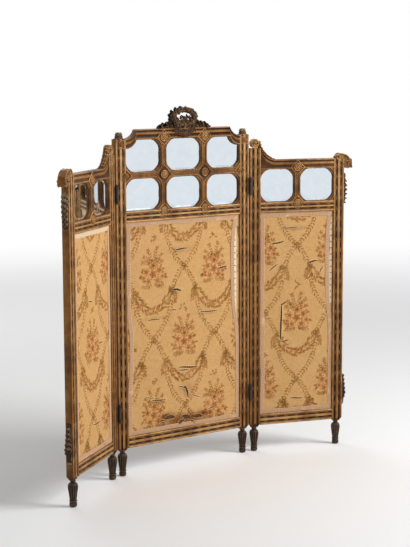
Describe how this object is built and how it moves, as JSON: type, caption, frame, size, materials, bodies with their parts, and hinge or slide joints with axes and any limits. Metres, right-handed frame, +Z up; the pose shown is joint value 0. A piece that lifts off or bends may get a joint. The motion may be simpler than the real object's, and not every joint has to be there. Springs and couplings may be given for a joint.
{
  "type": "folding screen",
  "caption": "Three-leaf folding screen with carved wooden frames, mirror panes over tall panels of figured fabric, a carved crest and turned feet; the side leaves fold on iron hinges.",
  "frame": {"origin": "on the floor, under the middle of the whole screen's box as it stands", "axes": "+Z up; -Y is the front of the centre leaf; +X to the right of someone facing that front; the side leaves come forward, towards -Y"},
  "size_m": [1.6978, 0.3422, 1.657],
  "materials": {
    "gilt_wood": "worn gilding over brown wood, satin",
    "carved_wood": "carved wood, dark in its hollows and worn pale on its edges",
    "dark_wood": "dark polished wood",
    "backboard_wood": "plain thin board, unfinished",
    "mirror_glass": "old silvered glass with bevelled edges",
    "figured_fabric": "worn figured weave, gold ground with garlands and bouquets",
    "hessian": "coarse brown lining cloth",
    "gimp_braid": "woven braid, faded rose",
    "back_cloth": "plain cotton cloth",
    "hinge_iron": "dark aged iron",
    "screw_steel": "aged steel"
  },
  "bodies": {
    "centre_leaf": {"centre_back_cover": "back_cloth", "centre_backboard": "backboard_wood", "centre_bottom_rail": "gilt_wood", "centre_buds": "carved_wood", "centre_crest": "carved_wood", "centre_fabric": "figured_fabric", "centre_feet": "dark_wood", "centre_gimp": "gimp_braid", "centre_glazing_bars": "gilt_wood", "centre_hinge_screws": "screw_steel", "centre_left_stile": "gilt_wood", "centre_mid_rail": "gilt_wood", "centre_mirrors": "mirror_glass", "centre_right_stile": "gilt_wood", "centre_rosettes": "gilt_wood", "centre_top_rail": "gilt_wood", "centre_under_lining": "hessian", "left_centre_hinge_plates": "hinge_iron", "left_hinge_pins": "hinge_iron", "right_centre_hinge_plates": "hinge_iron", "right_hinge_pins": "hinge_iron"},
    "left_leaf": {"left_back_cover": "back_cloth", "left_backboard": "backboard_wood", "left_bottom_rail": "gilt_wood", "left_edge_carvings": "carved_wood", "left_fabric": "figured_fabric", "left_feet": "dark_wood", "left_gimp": "gimp_braid", "left_glazing_bar": "gilt_wood", "left_hinge_plates": "hinge_iron", "left_hinge_screws": "screw_steel", "left_inner_scroll": "gilt_wood", "left_inner_stile": "gilt_wood", "left_mid_rail": "gilt_wood", "left_mirrors": "mirror_glass", "left_outer_scroll": "gilt_wood", "left_outer_stile": "gilt_wood", "left_rosettes": "gilt_wood", "left_top_rail": "gilt_wood", "left_under_lining": "hessian"},
    "right_leaf": {"right_back_cover": "back_cloth", "right_backboard": "backboard_wood", "right_bottom_rail": "gilt_wood", "right_edge_carvings": "carved_wood", "right_fabric": "figured_fabric", "right_feet": "dark_wood", "right_gimp": "gimp_braid", "right_glazing_bar": "gilt_wood", "right_hinge_plates": "hinge_iron", "right_hinge_screws": "screw_steel", "right_inner_scroll": "gilt_wood", "right_inner_stile": "gilt_wood", "right_mid_rail": "gilt_wood", "right_mirrors": "mirror_glass", "right_outer_scroll": "gilt_wood", "right_outer_stile": "gilt_wood", "right_rosettes": "gilt_wood", "right_top_rail": "gilt_wood", "right_under_lining": "hessian"}
  },
  "joints": [
    {"name": "left_leaf_fold", "type": "hinge", "parent": "centre_leaf", "child": "left_leaf", "pos_m": [-0.39635, 0.12163, 0], "axis": [0, 0, 1], "range_deg": [-35.2, 144.8]},
    {"name": "right_leaf_fold", "type": "hinge", "parent": "centre_leaf", "child": "right_leaf", "pos_m": [0.33765, 0.12163, 0], "axis": [0, 0, -1], "range_deg": [-17.6, 150.4]}
  ]
}
